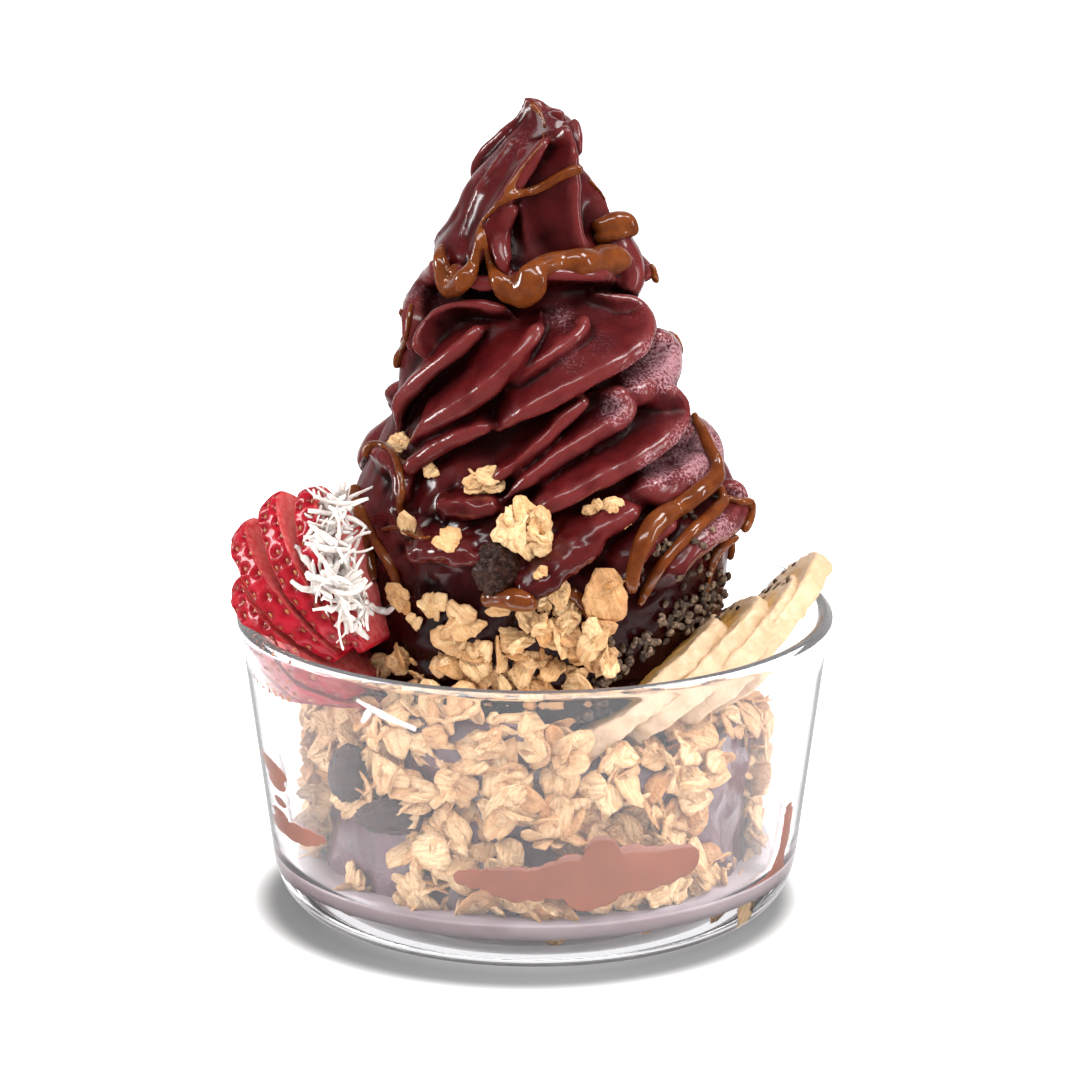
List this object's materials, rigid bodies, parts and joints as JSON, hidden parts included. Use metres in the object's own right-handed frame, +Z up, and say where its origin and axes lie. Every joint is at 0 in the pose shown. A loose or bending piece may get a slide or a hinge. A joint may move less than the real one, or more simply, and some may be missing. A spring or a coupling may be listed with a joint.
{
  "type": "acai bowl",
  "caption": "Clear glass bowl of granola and acai soft serve piled in a tall twisted swirl, topped with strawberry, banana, coconut, chia and chocolate hazelnut drizzle.",
  "frame": {"origin": "middle of the bowl's foot, on the surface it stands on", "axes": "+Z up through the swirl's peak, -Y the front of the bowl, +X towards the banana slices"},
  "size_m": [0.1289, 0.1286, 0.1753],
  "materials": {
    "bowl_glass": "clear pressed glass with a polished rim",
    "acai": "frozen acai soft serve, frosty in the flutes and glossy where it melts",
    "oats": "baked rolled oats, matte",
    "raisin": "dark wrinkled raisin, slight sheen",
    "strawberry": "wet red strawberry, seeded skin and cut faces",
    "banana": "peeled banana flesh, soft sheen",
    "coconut": "white shredded coconut, matte"
  },
  "bodies": {
    "root": {"bowl": "bowl_glass", "acai_swirl": "acai", "granola": "oats", "granola_cluster_1": "oats", "granola_cluster_2": "oats", "granola_cluster_3": "oats", "granola_cluster_4": "oats", "raisin_1": "raisin", "raisin_2": "raisin", "raisin_3": "raisin", "strawberry_slice_1": "strawberry", "strawberry_slice_2": "strawberry", "strawberry_slice_3": "strawberry", "strawberry_slice_4": "strawberry", "strawberry_slice_5": "strawberry", "strawberry_slice_6": "strawberry", "banana_slice_1": "banana", "banana_slice_2": "banana", "banana_slice_3": "banana", "banana_slice_4": "banana", "coconut": "coconut"}
  },
  "joints": []
}
